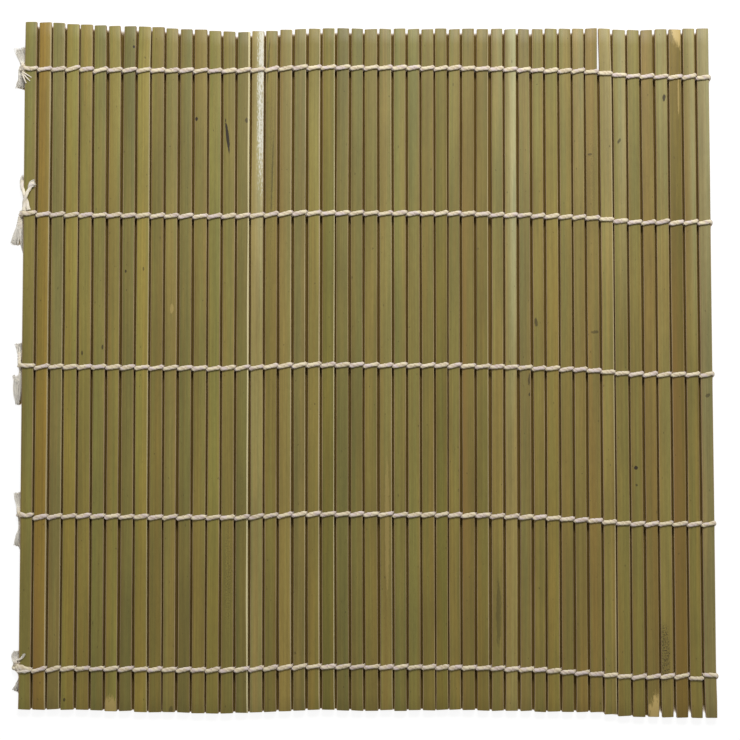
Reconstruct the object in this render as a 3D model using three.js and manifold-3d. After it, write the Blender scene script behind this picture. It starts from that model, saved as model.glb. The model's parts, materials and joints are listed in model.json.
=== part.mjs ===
// Sushi rolling mat: flat bamboo slats laid side by side and woven together by
// five rows of doubled cotton twine.
// Millimetres. +X runs across the slats from the knotted edge to the looped
// edge, +Y runs along the slats, +Z is up. The origin is the bottom centre of
// the bounding box, so the undersides of the twines lie on z = 0.

import * as THREE from "three";
import { mergeVertices } from "three/addons/utils/BufferGeometryUtils.js";
import Module from "manifold-3d";

const wasm = await Module();
wasm.setup();

// Slats
const SLAT_COUNT = 49;
const SLAT_LENGTH = 240;
const SLAT_WIDTH = 4.22;
const SLAT_THICKNESS = 1.7;
const SLAT_GAP = 0.7;
const TOP_EDGE_CHAMFER = 0.32;
const BOTTOM_EDGE_CHAMFER = 0.18;

// Twine
const TWINE_WIDTH = 1.3;
const TWINE_THICKNESS = 0.85;
const TWINE_CLEARANCE = 0.1;
const TWINE_SIDES = 6;

// Knots and tails at the first slat
const KNOT_WIDTH = 2;
const KNOT_LENGTH = 3;
const KNOT_HEIGHT = 2.9;
const KNOT_SIDES = 10;
const KNOT_BANDS = 6;
const TAIL_LENGTH = 10;
const TAIL_THICKNESS = 0.6;
const TAIL_NECK_WIDTH = 1.1;

// How far a handmade mat strays from a perfect grid
const WEAVE_DRIFT = 2.8;
const WEAVE_CREEP = 1.65;
const END_TRIM = 3.1;
const END_SCATTER = 0.35;
const WIDTH_SCATTER = 0.3;

// Places of the twine rows along the slats, from the middle, as shares of the slat length
const ROW_PLACE_SHARES = [0.435, 0.2207, -0.001, -0.2166, -0.4346];

// [share of the way across the mat, share of the size]: how far the weave has
// slipped along the slats and crept across them, because the slats are wider
// towards the knots, and how far inside the full length the far and near ends
// lie, where a negative share stands proud
const DRIFT_SHARES = [[0, 0], [0.29, -0.24], [0.42, 0.17], [0.6, 0.07], [0.82, -0.34], [0.9, -1.04], [1, -1.1]];
const CREEP_SHARES = [[0, 0], [0.55, 1], [0.84, 0.05], [1, 0]];
const FAR_TRIM_SHARES = [[0, -0.3], [0.14, 0.05], [0.34, 0.65], [0.62, 0.6], [0.8, 0.25], [0.92, -0.3], [1, -0.5]];
const NEAR_TRIM_SHARES = [[0, 0.3], [0.3, 0.1], [0.5, 0.05], [0.68, 0.2], [0.82, 0.3], [0.9, 0.4], [1, 0.3]];

// Tails of each row's knot: where the end lies, as shares of the tail length
// from the knot, how wide it frays, as shares of its neck, and whether it lies
// on top of the first slat instead of beside it
const TAILS = [
  [
    { acrossShare: -0.08, alongShare: 0.72, frayShare: 2.2, onSlat: false },
    { acrossShare: -0.06, alongShare: -0.68, frayShare: 2.3, onSlat: false },
  ],
  [
    { acrossShare: 0.44, alongShare: 1.1, frayShare: 1.5, onSlat: true },
    { acrossShare: -0.08, alongShare: -1.1, frayShare: 2.2, onSlat: false },
  ],
  [
    { acrossShare: -0.08, alongShare: 0.85, frayShare: 2.1, onSlat: false },
    { acrossShare: -0.1, alongShare: -1.2, frayShare: 1.9, onSlat: false },
  ],
  [
    { acrossShare: -0.06, alongShare: 0.85, frayShare: 2.1, onSlat: false },
    { acrossShare: -0.04, alongShare: -1.1, frayShare: 1.7, onSlat: false },
  ],
  [
    { acrossShare: -0.07, alongShare: 0.55, frayShare: 2.3, onSlat: false },
    { acrossShare: -0.08, alongShare: -0.85, frayShare: 1.7, onSlat: false },
  ],
];

// Bamboo and cotton tones
const BAMBOO_GREEN = 0x857d45;
const BAMBOO_AMBER = 0x947737;
const BAMBOO_PALE = 0xb4ad84;
const COTTON = 0xe0d4c2;
const AMBER_SLATS = [2, 47];
const PALE_SLATS = [17, 48];

// Derived sizes
const PITCH = SLAT_WIDTH + SLAT_GAP;
const SLAT_BOTTOM = TWINE_THICKNESS + TWINE_CLEARANCE;
const SLAT_TOP = SLAT_BOTTOM + SLAT_THICKNESS;
const SLAT_MIDDLE = (SLAT_BOTTOM + SLAT_TOP) / 2;
const TWINE_OVER = SLAT_TOP + TWINE_CLEARANCE + TWINE_THICKNESS / 2;
const TWINE_UNDER = SLAT_BOTTOM - TWINE_CLEARANCE - TWINE_THICKNESS / 2;
const HALF_TWINE_IN_GAP = SLAT_GAP / 2 - TWINE_CLEARANCE;
const CROSSING_OFFSET = (TWINE_WIDTH + TWINE_CLEARANCE) / 2;
const FIRST_SLAT_EDGE = gapCentre(0) + SLAT_GAP / 2;
const KNOT_X = FIRST_SLAT_EDGE - TWINE_CLEARANCE - KNOT_WIDTH / 2;
const ALONG_SLAT = new THREE.Vector3(0, 1, 0);

// Middle of the gap after slat i, counted from 1: gap 0 lies before the first slat.
function gapCentre(i) {
  return (i - SLAT_COUNT / 2) * PITCH + WEAVE_CREEP * valueAt(CREEP_SHARES, i / SLAT_COUNT);
}

// Middle of slat i across the mat.
function slatCentre(i) {
  return (gapCentre(i - 1) + gapCentre(i)) / 2;
}

// How far across the mat slat i lies, from 0 to 1.
function shareAcross(i) {
  return (i - 1) / (SLAT_COUNT - 1);
}

// Reads a list of [place, value] points at a place, smoothly between them.
function valueAt(shares, place) {
  const after = shares.findIndex(([p]) => p >= place);
  if (after <= 0) return shares[0][1];
  const [p0, v0] = shares[after - 1];
  const [p1, v1] = shares[after];
  return THREE.MathUtils.lerp(v0, v1, THREE.MathUtils.smoothstep(place, p0, p1));
}

// A fixed scatter from 0 to 1 for slat i, different for each use: the decimals
// of a large sine.
function scatter(i, use) {
  const [slatStep, useStep, stretch] = [12.9898, 78.233, 43758.5453];
  const wave = Math.sin(i * slatStep + use * useStep) * stretch;
  return wave - Math.floor(wave);
}

// How far the weave has slipped along the slats at slat i.
function weaveDrift(i) {
  return WEAVE_DRIFT * valueAt(DRIFT_SHARES, shareAcross(THREE.MathUtils.clamp(i, 1, SLAT_COUNT)));
}

// Turns a three.js geometry into a solid that can be joined to another.
function solidOf(geometry) {
  const bare = geometry.clone();
  bare.deleteAttribute("normal");
  bare.deleteAttribute("uv");
  const merged = mergeVertices(bare);
  return new wasm.Manifold(
    new wasm.Mesh({
      numProp: 3,
      vertProperties: merged.attributes.position.array,
      triVerts: new Uint32Array(merged.index.array),
    }),
  );
}

// Turns a solid back into a geometry.
function geometryOf(solid) {
  const mesh = solid.getMesh();
  const geometry = new THREE.BufferGeometry();
  geometry.setAttribute("position", new THREE.BufferAttribute(mesh.vertProperties, 3));
  geometry.setIndex(new THREE.BufferAttribute(mesh.triVerts, 1));
  geometry.computeVertexNormals();
  return geometry;
}

// A flat bamboo slat: its section has chamfered long edges, larger on the bark
// side, and is extruded along the slat.
function slatGeometry(width, length) {
  const half = width / 2;
  const section = new THREE.Shape();
  section.moveTo(-half + BOTTOM_EDGE_CHAMFER, 0);
  section.lineTo(half - BOTTOM_EDGE_CHAMFER, 0);
  section.lineTo(half, BOTTOM_EDGE_CHAMFER);
  section.lineTo(half, SLAT_THICKNESS - TOP_EDGE_CHAMFER);
  section.lineTo(half - TOP_EDGE_CHAMFER, SLAT_THICKNESS);
  section.lineTo(-half + TOP_EDGE_CHAMFER, SLAT_THICKNESS);
  section.lineTo(-half, SLAT_THICKNESS - TOP_EDGE_CHAMFER);
  section.lineTo(-half, BOTTOM_EDGE_CHAMFER);
  section.closePath();
  const geometry = new THREE.ExtrudeGeometry(section, { depth: length, bevelEnabled: false });
  return geometry.rotateX(Math.PI / 2);
}

function slatColour(i) {
  if (AMBER_SLATS.includes(i)) return BAMBOO_AMBER;
  if (PALE_SLATS.includes(i)) return BAMBOO_PALE;
  return BAMBOO_GREEN;
}

function makeSlat(i) {
  const across = shareAcross(i);
  const width = gapCentre(i) - gapCentre(i - 1) - SLAT_GAP - WIDTH_SCATTER * scatter(i, 1);
  const farEnd = SLAT_LENGTH / 2 - END_TRIM * valueAt(FAR_TRIM_SHARES, across) - END_SCATTER * scatter(i, 2);
  const nearEnd = END_TRIM * valueAt(NEAR_TRIM_SHARES, across) + END_SCATTER * scatter(i, 3) - SLAT_LENGTH / 2;
  const material = new THREE.MeshStandardMaterial({ color: slatColour(i), roughness: 0.55, metalness: 0 });
  const slat = new THREE.Mesh(slatGeometry(width, farEnd - nearEnd), material);
  slat.name = "slat_" + String(i).padStart(2, "0");
  slat.position.set(slatCentre(i), farEnd + weaveDrift(i), SLAT_BOTTOM);
  return slat;
}

// A ring of the twine: its centre, half its thickness as a vector in the plane
// of the weave, and half its width along the slats.
function twineRing(x, y, z, thicknessAcross, thicknessUp, halfWidth) {
  return {
    centre: new THREE.Vector3(x, y, z),
    thickness: new THREE.Vector3(thicknessAcross, 0, thicknessUp),
    width: ALONG_SLAT.clone().multiplyScalar(halfWidth),
  };
}

// Sweeps a flattened polygon through the rings, by placing the vertices of a
// cylinder that has one section for each ring.
function sweep(rings) {
  const steps = rings.length - 1;
  const sectorStart = Math.PI / TWINE_SIDES;
  const flatScale = 1 / Math.cos(sectorStart);
  const cylinder = new THREE.CylinderGeometry(1, 1, steps, TWINE_SIDES, steps, false, sectorStart);
  const position = cylinder.attributes.position;
  const vertex = new THREE.Vector3();
  for (let v = 0; v < position.count; v++) {
    vertex.fromBufferAttribute(position, v);
    const ring = rings[Math.round(vertex.y + steps / 2)];
    const placed = ring.centre
      .clone()
      .addScaledVector(ring.thickness, vertex.z * flatScale)
      .addScaledVector(ring.width, -vertex.x);
    position.setXYZ(v, placed.x, placed.y, placed.z);
  }
  return cylinder;
}

// One strand of a row from the knot to the last gap. It passes over every other
// slat and under those between, crossing its partner in each gap: the strand
// that comes up starts on the near side, and the one that goes down ends on the far side.
function strandRings(rowY, overFirst) {
  const rings = [];
  for (let gap = 0; gap <= SLAT_COUNT; gap++) {
    const overNext = (gap % 2 === 0) === overFirst;
    const y = rowY + weaveDrift(gap + 0.5) + (overNext ? -CROSSING_OFFSET : CROSSING_OFFSET);
    const lean = overNext ? -HALF_TWINE_IN_GAP : HALF_TWINE_IN_GAP;
    const heights = overNext ? [TWINE_UNDER, TWINE_OVER] : [TWINE_OVER, TWINE_UNDER];
    if (gap === 0) heights[0] = SLAT_MIDDLE;
    for (const z of heights) {
      const x = gap === 0 && z === SLAT_MIDDLE ? KNOT_X : gapCentre(gap);
      rings.push(twineRing(x, y, z, lean, TWINE_THICKNESS / 2, TWINE_WIDTH / 2));
    }
  }
  return rings;
}

// The whole doubled twine of a row: out along one strand, round the last slat,
// and back along the other.
function doubledTwine(rowY) {
  const outwardIsOverFirst = SLAT_COUNT % 2 === 1;
  const outward = strandRings(rowY, outwardIsOverFirst);
  const back = strandRings(rowY, !outwardIsOverFirst);
  outward.pop();
  back.pop();
  back.reverse();
  for (const ring of back) ring.thickness.negate();
  return solidOf(sweep([...outward, ...back]));
}

// The knot that ties both ends of a row's twine.
function knot(rowY) {
  const ball = new THREE.SphereGeometry(1, KNOT_SIDES, KNOT_BANDS);
  ball.scale(KNOT_WIDTH / 2, KNOT_LENGTH / 2, KNOT_HEIGHT / 2);
  ball.translate(KNOT_X, rowY + weaveDrift(1), SLAT_MIDDLE);
  return solidOf(ball);
}

// A short cut end of the twine that leaves the knot and frays. One beside the
// slat droops to the surface the mat lies on; the other lies on the slat.
function tail(rowY, { acrossShare, alongShare, frayShare, onSlat }) {
  const startY = rowY + weaveDrift(1);
  const onTop = SLAT_TOP + TWINE_CLEARANCE + TAIL_THICKNESS / 2;
  const startZ = onSlat ? onTop : SLAT_MIDDLE;
  const endZ = onSlat ? onTop : TAIL_THICKNESS / 2;
  const turn = Math.sign(alongShare);
  const rings = [0, 0.5, 1].map((share) => {
    const halfWidth = (TAIL_NECK_WIDTH / 2) * THREE.MathUtils.lerp(1, frayShare, share * share);
    return {
      centre: new THREE.Vector3(
        KNOT_X + TAIL_LENGTH * acrossShare * share,
        startY + TAIL_LENGTH * alongShare * share,
        THREE.MathUtils.lerp(startZ, endZ, share),
      ),
      thickness: new THREE.Vector3(0, 0, TAIL_THICKNESS / 2),
      width: new THREE.Vector3(-turn * halfWidth, 0, 0),
    };
  });
  return solidOf(sweep(rings));
}

function makeTwine(row) {
  const rowY = ROW_PLACE_SHARES[row - 1] * SLAT_LENGTH;
  let solid = doubledTwine(rowY).add(knot(rowY));
  for (const shape of TAILS[row - 1]) solid = solid.add(tail(rowY, shape));
  const material = new THREE.MeshStandardMaterial({ color: COTTON, roughness: 0.9, metalness: 0 });
  const twine = new THREE.Mesh(geometryOf(solid), material);
  twine.name = "twine_row_" + row;
  return twine;
}

// Puts the origin at the bottom centre of the bounding box.
function centreOnBase(group) {
  const box = new THREE.Box3().setFromObject(group, true);
  const middle = box.getCenter(new THREE.Vector3());
  group.position.set(-middle.x, -middle.y, -box.min.z);
}

const mat = new THREE.Group();
for (let i = 1; i <= SLAT_COUNT; i++) mat.add(makeSlat(i));
for (let row = 1; row <= ROW_PLACE_SHARES.length; row++) mat.add(makeTwine(row));
centreOnBase(mat);

export default mat;
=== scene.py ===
import json
import math
from random import Random

import bmesh
import bpy
from bpy.props import FloatProperty, FloatVectorProperty, IntProperty, PointerProperty
from mathutils import Matrix, Vector, noise


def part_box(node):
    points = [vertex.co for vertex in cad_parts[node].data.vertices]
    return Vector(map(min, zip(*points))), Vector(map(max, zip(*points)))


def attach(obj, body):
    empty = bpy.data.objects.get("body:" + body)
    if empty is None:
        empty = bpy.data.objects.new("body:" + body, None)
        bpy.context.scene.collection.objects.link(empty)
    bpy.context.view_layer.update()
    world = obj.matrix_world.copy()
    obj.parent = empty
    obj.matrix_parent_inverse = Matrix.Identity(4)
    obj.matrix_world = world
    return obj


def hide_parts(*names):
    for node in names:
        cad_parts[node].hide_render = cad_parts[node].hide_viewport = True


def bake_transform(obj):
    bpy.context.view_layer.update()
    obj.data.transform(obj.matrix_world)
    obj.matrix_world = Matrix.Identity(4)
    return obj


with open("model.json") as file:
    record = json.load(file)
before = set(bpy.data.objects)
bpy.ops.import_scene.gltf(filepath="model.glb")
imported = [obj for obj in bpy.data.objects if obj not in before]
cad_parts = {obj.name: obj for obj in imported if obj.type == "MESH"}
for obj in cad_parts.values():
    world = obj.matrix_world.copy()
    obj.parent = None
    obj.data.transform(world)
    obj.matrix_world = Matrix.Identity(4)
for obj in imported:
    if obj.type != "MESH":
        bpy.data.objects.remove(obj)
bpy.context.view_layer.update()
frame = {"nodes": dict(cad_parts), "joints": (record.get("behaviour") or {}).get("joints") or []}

bl_info = {
    "name": "Sushi rolling mat",
    "version": (1, 0, 0),
    "blender": (4, 5, 0),
    "location": "3D View > Sidebar > Rolling mat",
    "description": "Bamboo slats, cotton twine and a pale studio for a sushi rolling mat",
    "category": "Object",
}

# Lengths in this file are millimetres in the row frame, unless a name says otherwise.
MM = 0.001
TAU = 2 * math.pi
TWINE_NODES = sorted(name for name in frame["nodes"] if name.startswith("twine_row_"))
SLAT_COUNT = sum(name.startswith("slat_") for name in frame["nodes"])
GAPS = [joint["pos_m"][0] / MM for joint in frame["joints"]]
REST = 0.02  # lowest that the twine's skin goes above the floor


def tone(red, green, blue):
    """A colour written as it looks on a screen, from 0 to 255, as the light that it stands for."""
    return tuple(
        c / 12.92 if c <= 0.04045 else ((c + 0.055) / 1.055) ** 2.4
        for c in (red / 255, green / 255, blue / 255)
    )


def colour_of(name, description, default):
    return FloatVectorProperty(
        name=name,
        description=description,
        subtype="COLOR",
        size=3,
        min=0,
        max=1,
        default=default,
    )


def length_of(name, description, default):
    return FloatProperty(
        name=name,
        description=description,
        subtype="DISTANCE",
        unit="LENGTH",
        precision=5,
        default=default * MM,
    )


def angle_of(name, description, degrees):
    return FloatProperty(
        name=name,
        description=description,
        subtype="ANGLE",
        unit="ROTATION",
        default=math.radians(degrees),
    )


def share_of(name, description, default):
    return FloatProperty(name=name, description=description, subtype="FACTOR", default=default)


class SlatSettings(bpy.types.PropertyGroup):
    crown: length_of("Crown", "How much higher a slat's skin is along its middle", 0.1)
    edge: length_of("Edge", "Width of the planed edge beside the skin", 0.38)
    sway: length_of("Sway", "How far a slat wanders from a straight line", 0.16)
    lean: angle_of("Lean", "Most that a slat is turned about its length", 1.1)
    stations: IntProperty(name="Stations", description="Sections along a slat", default=44)


class BambooTones(bpy.types.PropertyGroup):
    olive: colour_of("Olive", "Skin of most slats", tone(121, 111, 57))
    dun: colour_of("Dun", "Skin of the greyer slats", tone(118, 109, 61))
    fresh: colour_of("Fresh", "Skin of the greener slats", tone(119, 112, 58))
    golden: colour_of("Golden", "Skin of the yellower slats", tone(127, 115, 57))
    honey: colour_of("Honey", "Skin of the yellowest slats", tone(133, 122, 59))
    lime: colour_of("Lime", "Skin of the lighter green slats", tone(127, 120, 60))
    amber: colour_of("Amber", "Skin of the browned slat", tone(132, 111, 46))
    umber: colour_of("Umber", "Skin of the darker browned slat", tone(109, 94, 38))
    moss: colour_of("Moss", "Skin of the dark green slats", tone(109, 102, 53))
    bronze: colour_of("Bronze", "Skin of the dark yellow slats", tone(110, 102, 45))
    earth: colour_of("Earth", "Skin of the darker slats", tone(117, 106, 52))
    pale: colour_of("Pale", "Skin of the paler slats", tone(126, 115, 62))
    bright: colour_of("Bright", "Skin of the palest slats", tone(130, 119, 65))
    tan: colour_of("Tan", "Skin of the browner slats", tone(123, 108, 56))
    straw: colour_of("Straw", "Skin of the two straw slats", tone(137, 127, 78))
    ash: colour_of("Ash", "Skin of the greyest slat", tone(125, 117, 76))
    # Painted highlight: the colour that the painted sheen pales the skin to.
    sheen: colour_of("Sheen", "Smooth pale sheen on some slats", tone(178, 175, 135))
    wax: colour_of("Wax", "Whitish bloom left on the skin", tone(212, 211, 200))
    rust: colour_of("Rust", "Reddish brown of aged skin", tone(121, 92, 46))
    chip: colour_of("Chip", "Straw wood where the skin is gone", tone(182, 158, 98))
    flesh: colour_of("Flesh", "Planed sides and underside", tone(160, 140, 104))
    fibre: colour_of("Fibre", "Fibres in the planed sides", tone(120, 98, 66))
    rim: colour_of("Rim", "Planed edges that catch the light", tone(206, 195, 152))
    blot: colour_of("Blot", "Dark marks on the skin", tone(32, 20, 2))


class TwineSettings(bpy.types.PropertyGroup):
    half_width: length_of("Half width", "Half of a strand's width over a slat", 0.71)
    half_height: length_of("Half height", "Half of a strand's thickness over a slat", 0.4)
    pinch: length_of("Pinch", "Half of a strand's thickness in a gap", 0.26)
    reach: length_of("Reach", "From a row's middle to a strand in a gap", 0.43)
    stray: length_of("Stray", "How far a strand strays from that", 0.13)
    lobe: share_of("Lobe", "How deep the groove between two plies is", 0.11)
    turns: FloatProperty(name="Turns", description="Turns of twist from slat to slat", default=2.13)
    sides: IntProperty(name="Sides", description="Points round a strand", default=12)
    cotton: colour_of("Cotton", "Lit side of the twine", tone(227, 216, 186))
    # Painted shade: the colour of the twine's shaded grooves.
    shade: colour_of("Shade", "Grooves of the twine", tone(172, 152, 128))
    lilac: colour_of("Lilac", "Cooler patches of the twine", tone(215, 202, 198))
    frayed: colour_of("Frayed", "Loose fibres at the cut ends", tone(246, 244, 237))


class StageSettings(bpy.types.PropertyGroup):
    height: length_of("Camera height", "Camera above the floor", 650)
    aim_x: length_of("Aim across", "Point that the camera looks at", 2.33)
    aim_y: length_of("Aim along", "Point that the camera looks at", -1.31)
    tilt: angle_of("Tilt", "Camera off the vertical, towards the near edge", 3.525)
    side: angle_of("Side", "Camera off the vertical, towards the knotted edge", -0.108)
    roll: angle_of("Roll", "Camera turned about its line of sight", -0.054)
    lens: FloatProperty(
        name="Lens", description="Focal length on a 36 mm sensor", unit="CAMERA", default=90.75
    )
    key: FloatProperty(name="Key light", description="Power of the soft lamp", default=4.55)
    fill: FloatProperty(name="Fill", description="Strength of the light from all round", default=0.34)
    floor: colour_of("Floor", "Colour of the floor as it lights the mat", (0.8, 0.8, 0.79))


class Wire:
    """A shader socket whose sums add the Math nodes they stand for."""

    def __init__(self, paint, socket):
        self.paint = paint
        self.socket = socket

    def sum(self, operation, *values):
        sockets = dict(enumerate(values))
        return self.paint.node("ShaderNodeMath", {"operation": operation}, sockets)

    def __add__(self, other):
        return self.sum("ADD", self, other)

    def __radd__(self, other):
        return self.sum("ADD", other, self)

    def __sub__(self, other):
        return self.sum("SUBTRACT", self, other)

    def __rsub__(self, other):
        return self.sum("SUBTRACT", other, self)

    def __mul__(self, other):
        return self.sum("MULTIPLY", self, other)

    def __rmul__(self, other):
        return self.sum("MULTIPLY", other, self)

    def most(self, other):
        return self.sum("MAXIMUM", self, other)

    def least(self, other):
        return self.sum("MINIMUM", self, other)

    def ramp(self, low, high, start=0.0, end=1.0):
        """start below low and end above high, smoothly between them."""
        settings = {"interpolation_type": "SMOOTHSTEP"}
        sockets = {0: self, 1: low, 2: high, 3: start, 4: end}
        return self.paint.node("ShaderNodeMapRange", settings, sockets)


class Paint:
    """The node tree of one material or world; every node in it comes from `node`."""

    def __init__(self, owner):
        owner.use_nodes = True
        self.tree = owner.node_tree
        self.tree.nodes.clear()

    def node(self, kind, settings, sockets, output=0):
        made = self.tree.nodes.new(kind)
        for name, value in settings.items():
            setattr(made, name, value)
        for name, value in sockets.items():
            if isinstance(value, Wire):
                self.tree.links.new(value.socket, made.inputs[name])
            else:
                made.inputs[name].default_value = value
        return Wire(self, made.outputs[output]) if len(made.outputs) else None

    def attribute(self, name, output):
        return self.node("ShaderNodeAttribute", {"attribute_name": name}, {}, output)

    def split(self, vector):
        return [self.node("ShaderNodeSeparateXYZ", {}, {0: vector}, i) for i in range(3)]

    def stretched(self, vector, stretch):
        """The vector with each of its parts multiplied by a number of its own."""
        return self.node("ShaderNodeVectorMath", {"operation": "MULTIPLY"}, {0: vector, 1: stretch})

    def noise(self, vector, stretch, detail=2.0, rough=0.5):
        """Soft noise whose grains are 1/stretch long each way."""
        place = self.stretched(vector, stretch)
        sockets = {"Vector": place, "Scale": 1.0, "Detail": detail, "Roughness": rough}
        return self.node("ShaderNodeTexNoise", {}, sockets, "Fac")

    def bump(self, strength, distance, height):
        """Normals that follow a height, where 1 stands for the distance."""
        sockets = {"Strength": strength, "Distance": distance, "Height": height}
        return self.node("ShaderNodeBump", {}, sockets)

    def mix(self, factor, a, b, blend="MIX"):
        """Colour a where factor is 0 and b where it is 1."""
        a, b = (c if isinstance(c, Wire) else (*c, 1.0) for c in (a, b))
        settings = {"data_type": "RGBA", "blend_type": blend}
        return self.node("ShaderNodeMix", settings, {0: factor, 6: a, 7: b}, 2)

    def tint(self, colour, factor, low, high):
        """colour multiplied by low where factor is 0 and by high where it is 1."""
        return self.mix(1.0, colour, self.mix(factor, low, high), "MULTIPLY")

    def surface(self, shader):
        self.node("ShaderNodeOutputMaterial", {}, {"Surface": shader})


def bamboo_material():
    """Green skin with lengthwise grain, bloom, rust and marks, over pale planed flesh."""
    tones = bpy.context.scene.mat_bamboo
    material = bpy.data.materials.new("bamboo")
    paint = Paint(material)
    place = paint.attribute("place", "Vector")
    skin_tone = paint.attribute("tone", "Color")
    bloom, rust, skin = paint.split(paint.attribute("traits", "Vector"))
    end, rim, pepper = paint.split(paint.attribute("cut", "Vector"))

    broad = paint.noise(place, (0.16, 0.022, 0.16), 3.0)
    hue = paint.noise(place, (0.45, 0.011, 0.45), 2.0)
    streak = paint.noise(place, (1.5, 0.012, 1.5), 4.0, 0.6)
    fibre = paint.noise(place, (7.0, 0.06, 7.0), 2.0)
    mottle = paint.noise(place, (1.3, 0.35, 1.3), 3.0, 0.6)

    colour = paint.tint(skin_tone, broad.ramp(0.3, 0.7), (0.88, 0.89, 0.9), (1.12, 1.11, 1.1))
    colour = paint.tint(colour, hue.ramp(0.32, 0.68), (0.95, 1.01, 1.01), (1.06, 0.99, 0.94))
    colour = paint.tint(colour, streak.ramp(0.3, 0.72), (0.87, 0.86, 0.84), (1.12, 1.12, 1.13))
    colour = paint.tint(colour, fibre.ramp(0.25, 0.75), (0.94, 0.94, 0.93), (1.06, 1.06, 1.07))
    colour = paint.tint(colour, mottle.ramp(0.3, 0.7), (0.96, 0.95, 0.94), (1.04, 1.04, 1.05))
    colour = paint.mix((rust * (0.35 + 1.3 * streak)).ramp(0.1, 1.0), colour, tones.rust)
    chalk = paint.noise(place, (3.4, 0.8, 3.4), 3.0, 0.7)
    patches = (bloom * 0.8 + (streak - 0.5) * 1.6 + (chalk - 0.5) * 2.6).ramp(0.2, 1.0)
    patches = patches * bloom.ramp(0.0, 0.35) * 0.9
    colour = paint.mix(patches, colour, tones.wax)

    freckle = paint.noise(place, (1.1, 0.5, 1.1), 2.0).ramp(0.71, 0.76)
    colour = paint.mix(freckle * 0.5, colour, tones.blot)
    for name in ("mark", "spot"):
        across, along, dark = paint.split(paint.attribute(name, "Vector"))
        ragged = across * across + along * along + (mottle - 0.5) * 1.2 + (chalk - 0.5) * 1.6
        marked = 1.0 - ragged.ramp(0.45, 1.0)
        colour = paint.mix((marked * dark).most(0.0).least(1.0), colour, tones.blot)
        colour = paint.mix((marked * dark * -1.0).most(0.0), colour, tones.chip)

    grains = paint.noise(place, (3.6, 2.2, 3.6), 1.0).ramp(0.53, 0.58)
    colour = paint.mix((grains * pepper).least(0.85), colour, tones.blot)

    planed = paint.noise(place, (4.0, 0.03, 4.0), 4.0, 0.65)
    flesh = paint.mix(planed.ramp(0.35, 0.75), tones.flesh, tones.fibre)
    flesh = paint.tint(flesh, broad.ramp(0.3, 0.7), (0.86, 0.84, 0.8), (1.1, 1.1, 1.1))
    # Bundles of fibre end as dots on the cut ends.
    cells = {"Vector": paint.stretched(place, (3.2, 0.0, 3.2)), "Scale": 1.0}
    bundle = paint.node("ShaderNodeTexVoronoi", {}, cells, "Distance")
    flesh = paint.mix((1.0 - bundle.ramp(0.18, 0.32)) * end * 0.75, flesh, tones.fibre)
    # Painted highlight: the right planed edges, on the side towards the lamp, are painted cream.
    flesh = paint.mix(rim, flesh, tones.rim)
    cover = (skin + (streak - 0.5) * 0.3).ramp(0.72, 0.94)
    colour = paint.mix(cover, flesh, colour)

    rough = 0.62 - 0.16 * cover + (mottle - 0.5) * 0.14 + patches * 0.1
    height = fibre * 0.6 + planed * (1.0 - cover) * 1.4 + streak * 0.5
    bump = paint.bump(0.35, 0.12 * MM, height)
    shader = paint.node(
        "ShaderNodeBsdfPrincipled",
        {},
        {"Base Color": colour, "Roughness": rough, "Normal": bump, "Specular IOR Level": 0.3},
    )
    paint.surface(shader)
    return material


def cotton_material():
    """Unbleached cotton: helical fibres, painted shade in the grooves and cooler patches."""
    tones = bpy.context.scene.mat_twine
    material = bpy.data.materials.new("cotton")
    paint = Paint(material)
    place = paint.attribute("place", "Vector")
    groove, shade, fray = paint.split(paint.attribute("traits", "Vector"))
    thread = paint.noise(place, (5.5, 5.5, 0.35), 3.0, 0.6)
    lint = paint.noise(place, (2.2, 2.2, 0.9), 3.0, 0.65)
    patch = paint.noise(place, (0.4, 0.4, 0.23), 1.0)
    colour = paint.mix(patch.ramp(0.42, 0.62), tones.cotton, tones.lilac)
    # Partly painted shade in the grooves between the plies, partly the cotton's own darker threads.
    groove_shade_and_threads = (groove * 0.55 + (0.62 - thread) * 1.1 + (0.5 - lint) * 0.5).ramp(0.0, 1.0)
    colour = paint.mix(groove_shade_and_threads, colour, tones.shade)
    colour = paint.tint(colour, shade, (0.86, 0.85, 0.83), (1.04, 1.04, 1.05))
    colour = paint.mix(fray * 0.95, colour, tones.frayed)
    height = thread * 0.7 + lint * 0.5 - groove * 0.3
    bump = paint.bump(0.6, 0.15 * MM, height)
    rough = 0.82 + 0.12 * lint
    shader = paint.node(
        "ShaderNodeBsdfPrincipled",
        {},
        {
            "Base Color": colour,
            "Roughness": rough,
            "Normal": bump,
            "Specular IOR Level": 0.25,
            "Sheen Weight": 0.25,
            "Sheen Roughness": 0.6,
        },
    )
    paint.surface(shader)
    return material


def shared_material(name, maker):
    return bpy.data.materials.get(name) or maker()


KINDS = {"FLOAT": "value", "FLOAT_VECTOR": "vector", "FLOAT_COLOR": "color"}


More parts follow.
